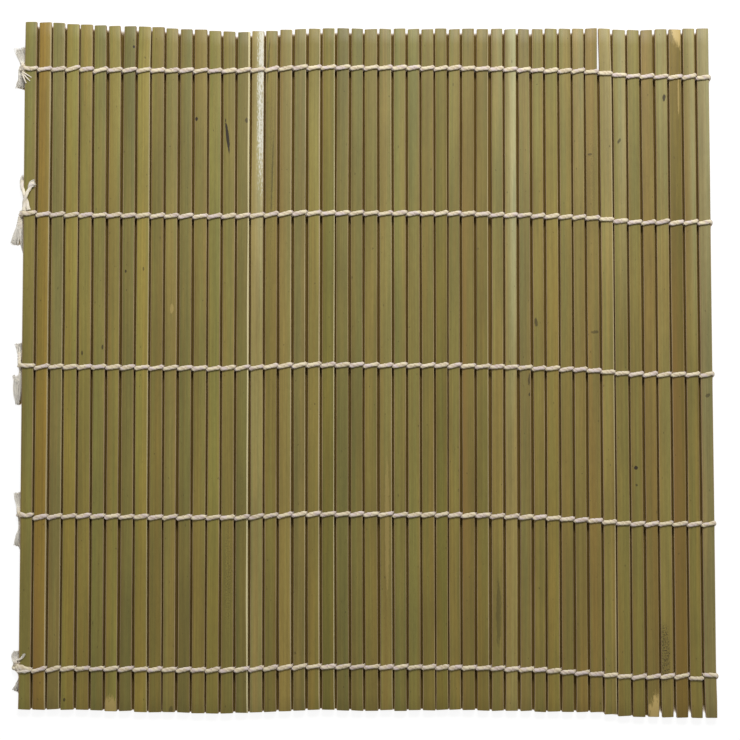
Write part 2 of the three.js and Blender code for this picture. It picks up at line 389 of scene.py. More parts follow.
class Shape:
    """The points, faces and painted values of one piece, gathered before its mesh is made."""

    def __init__(self, kinds):
        self.points = []
        self.faces = []
        self.kinds = kinds
        self.values = {name: [] for name in kinds}

    def loft(self, rings, painted):
        """A closed skin over the rings, each point with its painted values."""
        start, count = len(self.points), len(rings[0])
        for ring, values in zip(rings, painted, strict=True):
            for point, row in zip(ring, values, strict=True):
                self.points.append(point * MM)
                for name, value in row.items():
                    self.values[name].append(value)
        for r in range(len(rings) - 1):
            low, high = start + r * count, start + (r + 1) * count
            for i in range(count):
                j = (i + 1) % count
                self.faces.append((low + i, low + j, high + j, high + i))
        last = start + (len(rings) - 1) * count
        self.faces.append(tuple(reversed(range(start, start + count))))
        self.faces.append(tuple(range(last, last + count)))

    def make(self, name, material, slot, crease):
        """The piece as an object of the scene, its faces turned outwards."""
        mesh = bpy.data.meshes.new(name)
        mesh.from_pydata(self.points, [], self.faces)
        for key, kind in self.kinds.items():
            layer = mesh.attributes.new(key, kind, "POINT")
            flat = self.values[key]
            if kind != "FLOAT":
                flat = [number for value in flat for number in value]
            layer.data.foreach_set(KINDS[kind], flat)
        work = bmesh.new()
        work.from_mesh(mesh)
        bmesh.ops.recalc_face_normals(work, faces=work.faces)
        work.to_mesh(mesh)
        work.free()
        mesh.shade_smooth()
        mesh.set_sharp_from_angle(angle=math.radians(crease))
        mesh.materials.append(material)
        piece = bpy.data.objects.new(name, mesh)
        bpy.context.scene.collection.objects.link(piece)
        return piece


# Slats by their number from the knotted edge.
TONE_OF = {
    "dun": (3, 20, 36),
    "fresh": (1, 6, 27, 28),
    "golden": (5, 21, 38),
    "honey": (4, 9),
    "lime": (7, 14),
    "amber": (2,),
    "umber": (47,),
    "moss": (8, 12, 16, 23, 24),
    "bronze": (22, 30),
    "earth": (10, 18, 29, 32, 33),
    "pale": (11, 26, 34),
    "bright": (19, 42, 46),
    "tan": (40, 41, 45),
    "straw": (17, 35),
    "ash": (49,),
}
SLOT_OF = {2: "bamboo_amber", 47: "bamboo_amber", 17: "bamboo_pale", 48: "bamboo_pale"}
# Speckled bloom: how much, how far from the far end it holds and ends, and its lean to the right.
BLOOM = {17: (1.0, 38, 64, 0.9)}
# Painted highlight: a smooth pale sheen, in the same way.
SHEEN = {
    17: (0.4, 56, 105, 0.6),
    34: (0.12, 10, 70, 0.4),
    35: (0.5, 70, 140, 0.7),
    40: (0.14, 20, 70, 0.3),
    42: (0.2, 30, 100, 0.4),
    43: (0.3, 40, 110, 0.5),
    46: (0.16, 20, 80, 0.3),
    48: (0.3, 50, 120, 0.6),
    49: (0.2, 40, 100, 0.6),
}
# Rust: how much, where its middle lies from the near end to the far end, and its spread.
RUST = {
    2: (0.42, 0.08, 0.2),
    7: (0.3, 0.5, 0.8),
    13: (0.3, 1.0, 0.2),
    17: (0.1, 0.9, 0.35),
    19: (0.3, 0.85, 0.3),
    21: (0.25, 0.35, 0.4),
    32: (0.35, 0.4, 0.6),
    39: (0.3, 0.2, 0.3),
    47: (0.45, 0.3, 0.4),
    48: (0.3, 0.75, 0.3),
}
# Marks: across from the slat's middle, along from the mat's middle, half width, half length, slant
# and darkness, which is below 0 where the skin is gone and straw wood shows.
MARK = {
    4: (-1.0, -115, 0.5, 0.7, 0.0, 0.8),
    5: (-0.8, 4.6, 0.35, 0.9, 0.0, 0.8),
    6: (1.25, 6.6, 0.35, 0.9, 0.0, 0.8),
    7: (0.0, -119.0, 2.7, 6.0, 0.0, -0.7),
    8: (1.4, 112.5, 0.5, 0.6, 0.0, 1.0),
    9: (0.3, 34, 0.35, 0.8, 0.0, 0.6),
    11: (0.4, 20, 0.7, 2.0, 0.0, -0.4),
    13: (-1.5, 86.8, 0.5, 0.8, 0.0, 1.0),
    15: (-0.5, 80.3, 0.55, 6.8, -0.11, 1.3),
    16: (1.2, 86.3, 0.7, 1.1, 0.0, 0.7),
    18: (-1.1, 107, 0.35, 9.0, 0.05, 0.55),
    34: (0.3, -86, 1.0, 13.0, 0.0, 0.4),
    36: (1.5, -4.7, 0.7, 2.4, 0.1, 0.7),
    37: (-0.9, 15.2, 0.7, 1.8, -0.1, 0.7),
    41: (0.4, 11.7, 1.6, 0.7, 0.3, 0.55),
    43: (-0.3, 78.8, 0.6, 1.0, 0.3, 0.7),
    44: (-0.3, -35.5, 0.8, 0.8, 0.0, 1.0),
    45: (2.0, -122.0, 4.7, 10.0, 0.0, -0.95),
    46: (0.9, 94.1, 0.6, 1.5, 0.0, 0.9),
    47: (1.9, 118.5, 3.3, 7.5, 0.0, -0.95),
    49: (0.2, -10.5, 0.9, 0.8, 0.4, 0.6),
}
# A second mark on a slat, in the same way.
SPOT = {
    11: (0.8, -118.5, 0.8, 1.6, 0.2, 0.5),
    8: (-0.8, 33.2, 0.4, 0.6, 0.0, 0.9),
    18: (0.4, 68, 0.3, 16.0, 0.03, 0.45),
    # Slat 26's entry is a long pale streak, lightened with the straw tone.
    26: (0.4, -55, 0.9, 27.0, 0.0, -0.25),
    36: (1.4, -10.0, 0.4, 0.8, 0.0, 0.8),
    41: (-0.7, 74.1, 0.9, 0.5, 0.2, 0.6),
    44: (-0.2, -41.5, 0.5, 0.5, 0.0, 0.7),
    47: (1.1, 95, 0.35, 9.0, 0.0, -0.5),
}
# Fine dark grains, in the same way.
PEPPER = {
    15: (0.3, -72, 2.0, 24.0, 0.0, 0.5),
    16: (0.0, -50, 1.4, 30.0, 0.0, 0.2),
    18: (0.0, 70, 1.6, 45.0, 0.0, 0.3),
    41: (0.0, 70, 1.6, 30.0, 0.0, 0.25),
    46: (-1.2, -100.5, 2.3, 10.0, 0.0, 3.0),
}
# How far some slats lie to the right of their places: at the near end, the middle and the far end.
WANDER = (
    ((2,), 0.0, -0.15, 0.1),
    ((5, 6), 0.1, 0.0, -0.3),
    ((9, 10), 0.3, 0.0, 0.05),
    ((13,), 0.0, 0.15, 0.1),
    ((16, 17), 0.0, -0.1, 0.2),
    ((18, 19, 20, 21, 22, 23, 24, 25), -0.1, -0.25, 0.0),
    ((30,), -0.3, -0.15, 0.0),
    ((31, 32), -0.7, -0.55, -0.1),
    ((33,), -0.5, -0.25, 0.2),
    ((34, 35), -0.3, 0.15, 0.5),
    ((36, 37, 38, 39), -0.05, 0.25, 0.45),
    ((40,), 0.0, 0.15, 0.25),
    ((41, 42), 0.05, 0.15, 0.0),
)
# How far the ends of a slat stand to the right of their places: near end, far end.
SPLAY = {
    1: (0.0, 0.1),
    7: (0.0, -0.3),
    8: (0.05, 0.3),
    9: (0.0, 0.3),
    10: (0.0, 0.1),
    41: (0.0, 0.13),
    42: (0.0, -0.3),
    47: (0.12, 0.0),
    48: (0.25, 0.0),
    49: (0.4, 0.0),
}
SPLAY_FROM = 0.86  # share of the way from a slat's middle to its end where that begins
# How much wider a slat's right planed edge may be, and how much it catches the light.
RIMS = {
    2: 0.35,
    3: 0.3,
    9: 0.4,
    16: 1.0,
    19: 0.3,
    20: 0.3,
    21: 0.4,
    22: 0.8,
    26: 0.35,
    33: 0.3,
    42: 0.35,
}
NEAR_END_SHADE = (0.94, 0.9, 0.77)  # painted shade: share of red, green and blue left towards the near end, darker and yellower there
LIT_SIDE = 0.22  # where what leans right begins, in half widths to the left of the slat's middle
NO_MARK = (9.0, 9.0, 0.0)  # a place well outside any mark
SLACK = 0.03  # how far a slat's side stands out from the frame's, and how much that wavers
TAPERED_FROM = 45  # from this slat on the near ends narrow, and before it they flare
TAPER, TAPER_LENGTH = 0.14, 5  # off each side of a near end, and how far from the end it starts
FLARE, FLARE_LENGTH = 0.1, 1.2  # added to each side, in the same way
BURR, BURR_SIZE = 0.12, 0.93  # length of the worn edge at a cut end, and its size there
NOISE_APART = 400.0  # keeps one slat's noise from running on in the next
SLAT_CREASE = 40  # degrees


class Slat:
    """Where one slat of the frame lies, and how its sections wander along it."""

    def __init__(self, number):
        low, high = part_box(f"slat_{number:02d}")
        self.number = number
        self.low, self.high = low / MM, high / MM
        self.middle = (self.low.x + self.high.x) / 2
        self.width = self.high.x - self.low.x
        self.length = self.high.y - self.low.y
        draw = Random(700 + number)
        settings = bpy.context.scene.mat_slats
        self.tilt = draw.uniform(-0.04, 0.04)
        self.lean = draw.uniform(-1, 1) * settings.lean
        self.skews = draw.uniform(-0.25, 0.25), draw.uniform(-0.25, 0.25)
        self.edge = settings.edge / MM
        self.crown = settings.crown / MM
        self.sway = settings.sway / MM
        wander = next((lie for among, *lie in WANDER if number in among), (0, 0, 0))
        self.near_lie, self.middle_lie, self.far_lie = wander
        self.rim = RIMS.get(number, 0.0)
        self.right_edge = draw.uniform(0.5, 0.85 + self.rim) * self.edge
        self.slim = draw.uniform(-0.07, 0.07)
        self.kind = next((name for name, among in TONE_OF.items() if number in among), "olive")
        self.left_edge = draw.uniform(0.5, 0.9) * self.edge

    def skin_tone(self, across, y):
        """The skin's colour at one point: darker and yellower near by, which is painted shade, and paler
        where it shines, which is a painted highlight.
        """
        tones = bpy.context.scene.mat_bamboo
        near = min(1.0, max(0.0, 0.85 - (y - self.low.y) / self.length) / 0.68)
        shine = self.spread(SHEEN, across, y)
        colour = []
        for base, aged, pale in zip(getattr(tones, self.kind), NEAR_END_SHADE, tones.sheen):
            # Painted shade: darker and yellower towards the near end.
            base *= 1 - near * (1 - aged)
            # Painted highlight: the sheen pales the skin.
            colour.append(base + (pale - base) * shine)
        return (*colour, 1.0)

    def spread(self, table, across, y):
        """How much of the slat's bloom or sheen there is at one point."""
        if self.number not in table:
            return 0.0
        much, hold, ends, lean = table[self.number]
        fade = min(1.0, max(0.0, (ends - (self.high.y - y)) / (ends - hold)))
        side = across / (self.width / 2)
        return much * fade * max(0.0, min(1.0, 1 - lean + lean * 2 * (side + LIT_SIDE)))

    def waver(self, y, step, stretch, level):
        """Soft noise along the slat, from -1 to 1, of its own for each use."""
        return noise.noise(Vector((self.number * step, y * stretch, level)))

    def shift(self, y):
        """How far the section at y stands to the right of the slat's place."""
        share = 2 * (y - self.low.y) / self.length - 1
        near, far = SPLAY.get(self.number, (0, 0))
        end = max(0.0, abs(share) - SPLAY_FROM) / (1 - SPLAY_FROM)
        splay = (near if share < 0 else far) * end
        wave = self.waver(y, 7.3, 0.011, 4.0)
        near_lie, far_lie = self.near_lie, self.far_lie
        bow = self.middle_lie * (1 - share * share) + (far_lie - near_lie) / 2 * share
        bow += (far_lie + near_lie) / 2 * share * share
        return self.sway * wave + self.tilt * share + splay + bow

    def across(self, y):
        """The middle of the section at y."""
        return self.middle + self.shift(y)

    def section(self, y, squeeze=1.0):
        """The section's outline from the left edge over the skin, as across, height and skin."""
        wobble = self.waver(y, 3.7, 0.03, 9.0)
        left = self.left_edge * (1 + 0.45 * wobble)
        right = self.right_edge * (1 - 0.45 * wobble)
        half = self.width / 2 + SLACK + self.slim - SLACK * wobble
        from_end = y - self.low.y
        if self.number >= TAPERED_FROM:
            half -= TAPER * max(0.0, 1 - from_end / TAPER_LENGTH) ** 2
        else:
            half += FLARE * max(0.0, 1 - from_end / FLARE_LENGTH)
        height = self.high.z - self.low.z
        outline = []
        for share in (-1, -0.7, -0.35, 0, 0.35, 0.7, 1):
            across = share * (half - (left if share < 0 else right))
            outline.append((across, height - self.crown * share * share, 1.0))
        drop = self.crown
        outline.append((half - right * 0.12, height - drop - right * 0.4, 0.3))
        outline.append((half, height - drop - right * 0.65, 0.0))
        outline.append((half - 0.04, height * 0.45, 0.0))
        outline.append((half, 0.2, 0.0))
        outline.append((half - 0.2, 0.02, 0.0))
        outline.extend((half * share, 0.0, 0.0) for share in (0.4, 0.0, -0.4))
        outline.append((0.2 - half, 0.02, 0.0))
        outline.append((-half, 0.2, 0.0))
        outline.append((0.04 - half, height * 0.45, 0.0))
        outline.append((-half, height - drop - left * 0.8, 0.0))
        outline.append((left * 0.15 - half, height - drop - left * 0.5, 0.3))
        middle = height / 2
        return [(x * squeeze, middle + (z - middle) * squeeze, skin) for x, z, skin in outline]

    def stations(self):
        """Each station's place along the slat, its squeeze, and whether it is on the cut end."""
        count = bpy.context.scene.mat_slats.stations
        yield self.low.y, BURR_SIZE, 1.0
        yield self.low.y + BURR, 1.0, 0.0
        for i in range(1, count):
            yield self.low.y + BURR + (self.length - 2 * BURR) * i / count, 1.0, 0.0
        yield self.high.y - BURR, 1.0, 0.0
        yield self.high.y, BURR_SIZE, 1.0

    def traits(self, across, y, skin):
        """Bloom, rust and skin at one point."""
        rust = 0.0
        if self.number in RUST:
            much, where, reach = RUST[self.number]
            side = across / (self.width / 2)
            share = (y - self.low.y) / self.length
            rust = much * math.exp(-(((share - where) / reach) ** 2)) * (1.2 - 0.5 * side)
        return self.spread(BLOOM, across, y), rust, skin

    def mark(self, table, across, y):
        """The point's place in the slat's mark, in half widths and half lengths."""
        if self.number not in table:
            return NO_MARK
        x0, y0, half_width, half_length, slant, dark = table[self.number]
        along = y - y0
        return (across - x0 - slant * along) / half_width, along / half_length, dark

    def pepper(self, across, y):
        """How thick the dark grains lie at one point."""
        x, along, thick = self.mark(PEPPER, across, y)
        return thick * max(0.0, 1 - x * x - along * along)

    def make(self, material):
        shape = Shape(
            {
                "place": "FLOAT_VECTOR",
                "tone": "FLOAT_COLOR",
                "traits": "FLOAT_VECTOR",
                "mark": "FLOAT_VECTOR",
                "spot": "FLOAT_VECTOR",
                "cut": "FLOAT_VECTOR",
            }
        )
        apart = NOISE_APART * self.number
        rings, painted = [], []
        for y, squeeze, end in self.stations():
            share = 2 * (y - self.low.y) / self.length - 1
            skew = self.skews[0] * max(0.0, -share) + self.skews[1] * max(0.0, share)
            skew *= abs(share) ** 40
            turn = self.lean * (0.7 + 0.3 * self.waver(y, 1.9, 0.01, 2))
            ring, values = [], []
            for across, z, skin in self.section(y, squeeze):
                lift = -math.sin(turn) * across
                x = self.middle + self.shift(y) + across
                along = y + skew * across / self.width
                ring.append(Vector((x, along, self.low.z + z + lift)))
                values.append(
                    {
                        "place": (across, along + apart, z),
                        "tone": self.skin_tone(across, y),
                        "traits": self.traits(across, y, skin * (1 - end)),
                        "mark": self.mark(MARK, across, y),
                        "spot": self.mark(SPOT, across, y),
                        "cut": (end, self.rim if across > 0 else 0.0, self.pepper(across, y)),
                    }
                )
            rings.append(ring)
            painted.append(values)
        shape.loft(rings, painted)
        slot = SLOT_OF.get(self.number, "bamboo_green")
        return shape.make(f"bamboo_slat_{self.number:02d}", material, slot, SLAT_CREASE)


def all_slats():
    return [Slat(number) for number in range(1, SLAT_COUNT + 1)]


class MAT_OT_slats(bpy.types.Operator):
    """Build the bamboo slats, each on its own body"""

    bl_idname = "mat.slats"
    bl_label = "Bamboo slats"

    def execute(self, context):
        material = shared_material("bamboo", bamboo_material)
        for number in range(1, SLAT_COUNT + 1):
            piece = Slat(number).make(material)
            body = f"slat_{number:02d}"
            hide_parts(body)
            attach(piece, body)
        return {"FINISHED"}


TWINE_VALUES = {"place": "FLOAT_VECTOR", "traits": "FLOAT_VECTOR"}
TWINE_CREASE = 75  # degrees
TOP = 3.08  # middle of a strand over a slat
LOW = 0.47  # middle of a strand under a slat
BEND = 0.56  # radius of a strand's turn into a gap
GAP_SLICE = 0.45  # how near a gap's middle the frame's twine is measured
NARROWED = 0.27  # how much less half width a strand has in a gap
RISING_TWIST = 1.3  # turn of the strand that rises in a gap against the one that falls
LEVEL = Vector((1, 0.001, 0.002))  # side of a strand that runs along the slats
UPRIGHT = Vector((0.02, 0.03, 1))  # side of a frayed fibre, up because fibres lie flat
TURN_SHARE = 0.16  # share of a strand's way along the slats that lies between its turn and the gap
CORNER_STEPS = 4
TWINE_APART = 7.0  # keeps the noise of one gap's twine from running on in the next
# Strands that pass a gap elsewhere than the weave's rule says: row, gap, down, up.
LAID = {
    (1, 1): (0.5, -0.35),
    (1, 4): (0.95, -0.3),
    (1, 5): (0.45, -0.9),
    (1, 48): (0.6, -0.55),
    (1, 49): (0.05, -0.7),
    (2, 0): (0.6, 0.0),
    (2, 1): (0.85, -0.35),
    (2, 46): (0.7, -0.6),
    (2, 49): (0.35, -0.7),
    (3, 0): (0.6, 0.0),
    (3, 1): (0.45, -0.7),
    (4, 0): (0.6, -0.5),
    (4, 1): (0.5, -1.0),
    (4, 2): (0.1, -0.8),
    (5, 0): (0.6, 0.1),
    (5, 1): (-0.35, -1.2),
    (5, 2): (0.15, -0.95),
    (5, 47): (0.7, -0.62),
    (5, 48): (-0.6, 0.62),
    (5, 49): (0.5, -0.7),
}

ROWS_NEARER = 0.4  # how far every row lies nearer than the frame's twine
SAG_STEP = 0.25  # how much further each row sags than the one beyond it
SAG_SLAT = 41  # the slat where the rows sag most
SAG_SPAN = 2.5  # slats from there over which the sag fades


def nearer(row, place):
    """How far a row lies nearer than the frame's twine, at a place counted in slats."""
    away = (place - SAG_SLAT) / SAG_SPAN
    return ROWS_NEARER + SAG_STEP * (row - 1) * math.exp(-away * away)


KNOT_INSET = 2.2  # from the left end of the frame's twine to the knot's middle
KNOT_HEIGHT = 1.6


class Row:
    """One row of the weave: its middle at each gap, and where its two strands pass there."""

    def __init__(self, number, slats):
        settings = bpy.context.scene.mat_twine
        node = frame["nodes"][f"twine_row_{number}"]
        self.number = number
        points = [vertex.co / MM for vertex in node.data.vertices]
        middles = []
        for gap in GAPS:
            near = [p.y for p in points if abs(p.x - gap) < GAP_SLICE]
            middles.append((min(near) + max(near)) / 2)
        self.knot = Vector((min(p.x for p in points) + KNOT_INSET, middles[0], KNOT_HEIGHT))
        middles = [middles[0], *middles, middles[-1]]
        self.middles = [y - nearer(number, gap + 0.5) for gap, y in enumerate(middles)]
        draw = Random(40 + number)
        reach, stray = settings.reach / MM, settings.stray / MM
        self.down, self.up = [], []
        for gap in range(SLAT_COUNT + 1):
            down = reach + draw.uniform(-stray, stray)
            up = -reach + draw.uniform(-stray, stray)
            down, up = LAID.get((number, gap), (down, up))
            self.down.append(self.middles[gap] + down)
            self.up.append(self.middles[gap] + up)
        self.plump = [draw.uniform(0.93, 1.08) for _ in range(SLAT_COUNT + 2)]
        self.shade = [draw.uniform(0.2, 1.0) for _ in range(SLAT_COUNT + 2)]
        self.phase = draw.uniform(0, TAU)
        self.slats = [slat.across(y) for slat, y in zip(slats, self.middles)]
        self.gaps = [
            (left.across(y) + left.width / 2 + right.across(y) - right.width / 2) / 2
            for left, right, y in zip(slats, slats[1:], self.middles[1:])
        ]

    def over(self, slat):
        """Where the strand over a slat crosses the slat's middle."""
        return (self.up[slat - 1] + self.down[slat]) / 2

    def under(self, slat):
        return (self.down[slat - 1] + self.up[slat]) / 2


class Strand:
    """A two-ply strand laid along points, each with its half thickness and half width."""

    def __init__(self, shape, sides):
        self.shape = shape
        self.sides = sides

    def lay(self, points, halves, twists, shades, lobe, along=0.0, fray=0.0, side=None):
        rings, painted = [], []
        travelled = along
        for i, point in enumerate(points):
            before, after = points[max(i - 1, 0)], points[min(i + 1, len(points) - 1)]
            ahead = (after - before).normalized()
            across = Vector((0, 1, 0)) if side is None else side
            across = (across - across.dot(ahead) * ahead).normalized()
            rise = ahead.cross(across)
            if i:
                travelled += (point - points[i - 1]).length
            thick, wide = halves[i]
            ring, values = [], []
            for j in range(self.sides):
                angle = TAU * j / self.sides
                ply = math.cos(2 * (angle - twists[i]))
                swell = 1 + lobe * ply
                offset = across * (wide * swell * math.cos(angle))
                offset += rise * (thick * swell * math.sin(angle))
                placed = point + offset
                placed.z = max(placed.z, REST)
                ring.append(placed)
                turned = angle - twists[i]
                values.append(
                    {
                        "place": (0.6 * math.cos(turned), 0.6 * math.sin(turned), travelled),
                        "traits": (max(0.0, -ply), shades[i], fray),
                    }
                )
            rings.append(ring)
            painted.append(values)
        self.shape.loft(rings, painted)


def all_rows(slats):
    return [Row(number, slats) for number in range(1, len(TWINE_NODES) + 1)]


def corner(centre, radius, start, end):
    """Points of an arc in the plane across the slats, between two angles in degrees."""
    for i in range(1, CORNER_STEPS):
        angle = math.radians(start + (end - start) * i / CORNER_STEPS)
        x, z = centre.x + radius * math.cos(angle), centre.z + radius * math.sin(angle)
        yield Vector((x, centre.y, z))


def crossing(start, end, gap, y_gap, falling):
    """A strand's points from one slat's middle to the next, through the gap between them."""
    z_start, z_end = (TOP, LOW) if falling else (LOW, TOP)
    sign = 1 if falling else -1
    first = Vector((gap - BEND, y_gap, z_start - sign * BEND))
    second = Vector((gap + BEND, y_gap, z_end + sign * BEND))
    points = [Vector((start[0], start[1], z_start))]
    turn_in = Vector((gap - BEND, start[1] + (y_gap - start[1]) * (1 - TURN_SHARE), z_start))
    points.append(points[0].lerp(turn_in, 0.5))
    points.append(turn_in)
    points.extend(corner(first, BEND, 90 * sign, 0))
    points.append(Vector((gap, y_gap, z_start - sign * BEND)))
    points.append(Vector((gap, y_gap, (z_start + z_end) / 2)))
    points.append(Vector((gap, y_gap, z_end + sign * BEND)))
    points.extend(corner(second, BEND, 180, 180 + 90 * sign))
    turn_out = Vector((gap + BEND, y_gap + (end[1] - y_gap) * TURN_SHARE, z_end))
    points.append(turn_out)
    points.append(turn_out.lerp(Vector((end[0], end[1], z_end)), 0.5))
    points.append(Vector((end[0], end[1], z_end)))
    return points


def lay_crossing(shape, row, gap, falling):
    """One strand of a row through one gap."""
    settings = bpy.context.scene.mat_twine
    y_gap = row.down[gap] if falling else row.up[gap]
    y_start = row.over(gap) if falling else row.under(gap)
    y_end = row.under(gap + 1) if falling else row.over(gap + 1)
    middle = row.gaps[gap - 1]
    start, end = (row.slats[gap - 1], y_start), (row.slats[gap], y_end)
    points = crossing(start, end, middle, y_gap, falling)
    count = len(points) - 1
    thick, wide = settings.half_height / MM, settings.half_width / MM
    pinch = settings.pinch / MM
    halves, twists, shades = [], [], []
    for i, point in enumerate(points):
        share = i / count
        plump = row.plump[gap] * (1 - share) + row.plump[gap + 1] * share
        near = max(0.0, 1 - abs(point.x - middle) / BEND)
        near = near * near * (3 - 2 * near)
        # Over a slat a strand swells a little just before it bends down.
        bulge = 1.0
        if point.z > TOP - 0.25:
            bulge = 1 + 0.1 * max(0.0, 1 - abs(point.x - middle + 0.7) / 0.9)
        half_thick = (thick * (1 - near) + pinch * near) * bulge
        half_wide = wide * (1 - near) + (wide - NARROWED) * near
        halves.append((half_thick, half_wide * (plump * (1 - near) + near)))
        twists.append(row.phase + TAU * settings.turns * (gap + share) + (0 if falling else RISING_TWIST))
        shades.append(row.shade[gap] * (1 - share) + row.shade[gap + 1] * share)
    strand = Strand(shape, settings.sides)
    strand.lay(points, halves, twists, shades, settings.lobe, along=gap * TWINE_APART)


class MAT_OT_links(bpy.types.Operator):
    """Build the twine between each slat and the next"""

    bl_idname = "mat.links"
    bl_label = "Twine between slats"

    def execute(self, context):
        material = shared_material("cotton", cotton_material)
        slats = all_slats()
        rows = all_rows(slats)
        for gap in range(1, SLAT_COUNT):
            shape = Shape(TWINE_VALUES)
            for row in rows:
                lay_crossing(shape, row, gap, True)
                lay_crossing(shape, row, gap, False)
            piece = shape.make(f"twine_link_{gap:02d}", material, "cotton_twine", TWINE_CREASE)
            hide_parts(*TWINE_NODES)
            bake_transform(piece)
        return {"FINISHED"}


# The tails of each row and its loose strands. Each has how many fibres it frays into and the share
# of it that stays twisted, then its points from the knot: right, far, up and the width there.
TAILS = {
    1: (
        (
            (170, 0.3),
            (0.1, 0.6, 1.6, 1.1), (0.0, 2.2, 1.1, 1.6), (-0.4, 4.6, 0.8, 3.3), (-0.9, 7.9, 0.6, 4.9),
        ),
        (
            (160, 0.25),
            (-0.6, 0.9, 1.3, 1.1), (-0.8, -1.2, 0.9, 1.8), (-0.5, -3.8, 0.6, 2.6), (-0.55, -6.9, 0.5, 4.6),
        ),
        (
            (0, 1.0),
            (0.0, -1.2, 2.2, 0.5), (1.4, -2.1, 2.95, 0.5), (3.4, -3.4, 2.85, 0.3),
        ),
        (
            (0, 1.0),
            (0.0, -1.4, 2.1, 0.5), (1.4, -3.1, 2.95, 0.5), (2.9, -4.7, 2.85, 0.3),
        ),
        (
            (0, 1.0),
            (-0.1, -1.6, 2.0, 0.5), (0.8, -3.7, 2.9, 0.5), (1.5, -5.4, 2.85, 0.4),
        ),
    ),
    2: (
        (
            (66, 0.75),
            (2.9, 1.2, 3.1, 1.4), (2.2, 3.9, 3.1, 1.4), (1.6, 6.3, 3.2, 1.15), (0.6, 8.9, 2.2, 1.4),
            (0.35, 11.6, 1.4, 2.0), (0.9, 13.8, 1.0, 1.6),
        ),
        (
            (110, 0.84),
            (1.25, 0.9, 3.0, 1.4), (1.45, 3.8, 3.1, 1.4), (2.2, 6.3, 3.9, 1.15), (3.1, 8.6, 3.3, 1.2),
            (4.0, 10.3, 3.5, 2.2), (5.3, 10.7, 3.4, 2.6),
        ),
        (
            (0, 1.0),
            (1.7, 6.0, 3.5, 0.5), (3.3, 8.0, 3.2, 0.45), (4.0, 9.4, 3.3, 0.4),
        ),
        (
            (130, 0.3),
            (-0.4, -0.8, 1.5, 1.1), (-0.9, -4.0, 0.9, 1.6), (-1.7, -7.6, 0.6, 2.4), (-2.3, -10.9, 0.5, 2.7),
        ),
        (
            (60, 0.3),
            (0.1, -1.0, 1.2, 0.9), (0.1, -5.0, 0.8, 1.1), (0.2, -9.6, 0.5, 1.2), (0.8, -13.8, 0.4, 0.6),
        ),
    ),
    3: (
        (
            (130, 0.55),
            (0.0, 0.5, 1.8, 1.2), (0.0, 2.6, 1.3, 1.4), (0.0, 4.9, 0.9, 1.8), (-0.2, 8.0, 0.6, 3.4),
        ),
        (
            (170, 0.25),
            (0.3, -0.6, 1.5, 0.9), (0.3, -3.0, 1.0, 1.1), (-0.7, -6.2, 0.8, 3.0), (-0.8, -13.6, 0.5, 1.4),
        ),
        (
            (46, 0.0),
            (-0.3, -5.6, 1.0, 1.6), (-1.5, -4.6, 1.0, 1.4), (-2.2, -3.2, 0.7, 0.9),
        ),
    ),
    4: (
        (
            (150, 0.25),
            (0.0, 0.7, 1.8, 1.3), (0.0, 2.8, 1.2, 1.8), (-0.1, 5.0, 0.9, 2.7), (-0.2, 7.7, 0.6, 2.8),
        ),
        (
            (120, 0.35),
            (0.2, -0.8, 1.5, 1.0), (0.4, -4.4, 0.7, 1.2), (-0.2, -7.4, 0.6, 1.8), (-0.7, -11.0, 0.5, 2.5),
        ),
        (
            (12, 0.3),
            (0.0, -9.6, 0.6, 0.6), (0.4, -11.4, 0.6, 0.6), (1.0, -12.8, 0.6, 0.4),
        ),
    ),
    5: (
        (
            (170, 0.1),
            (-0.2, 1.2, 1.8, 1.7), (-0.4, 2.3, 1.4, 2.3), (-0.4, 3.6, 1.1, 3.0), (0.0, 5.2, 0.9, 2.4),
        ),
        (
            (36, 0.5),
            (0.6, 2.3, 2.9, 0.7), (1.9, 2.9, 3.1, 0.8), (3.3, 4.5, 3.2, 1.0),
        ),
        (
            (130, 0.35),
            (0.9, -1.2, 0.5, 1.1), (1.7, -3.4, 0.5, 1.2), (0.9, -5.4, 0.5, 1.5), (-0.5, -8.6, 0.5, 2.7),
        ),
        (
            (0, 1.0),
            (0.6, -1.7, 2.7, 1.1), (2.9, -1.5, 3.1, 1.3), (5.3, -0.95, 2.95, 1.1),
        ),
    ),
}
# Size of each row's knot, as a share of the drawn one.
KNOT_SIZE = {1: 1.2, 2: 0.85, 3: 0.75, 4: 0.9, 5: 1.7}
# Thickness of each row's first stitch, as a share of the others'.
FIRST_SHARE = {1: 1.1, 2: 1.2, 3: 1.0, 4: 1.15, 5: 1.4}
FIBRE = 0.075  # half thickness of a frayed fibre
KNOT_LEAN = math.radians(48)


def along_line(points, share):
    """A point of a smooth line through the points."""
    place = share * (len(points) - 1)
    i = min(int(place), len(points) - 2)
    t = place - i
    p0, p1 = points[max(i - 1, 0)], points[i]
    p2, p3 = points[i + 1], points[min(i + 2, len(points) - 1)]
    return 0.5 * (
        2 * p1
        + (p2 - p0) * t
        + (2 * p0 - 5 * p1 + 4 * p2 - p3) * t * t
        + (3 * p1 - p0 - 3 * p2 + p3) * t * t * t
    )


def lay_tail(shape, knot, tail, draw):
    """A cut end of twine: a twisted strand that opens into fine fibres."""
    (count, tight), *offsets = tail
    start = Vector((knot.x, knot.y, 0, 0))
    points = [start + Vector(offset) for offset in offsets]
    steps = 14
    if tight > 0:
        line = [along_line(points, min(1.0, tight * 1.1 * i / steps)) for i in range(steps + 1)]
        halves = [(min(0.4, 0.44 * at.w), 0.5 * min(at.w, 1.6)) for at in line]
        if not count:
            halves[-1] = tuple(0.4 * half for half in halves[-1])
        twists = [0.9 * i + knot.y for i in range(steps + 1)]
        strand = Strand(shape, 10)
        route = [at.xyz for at in line]
        strand.lay(route, halves, twists, [0.8] * (steps + 1), 0.12, fray=0.35, side=LEVEL)
    for _ in range(count):
        lay_fibre(shape, points, tight * 0.8, draw)


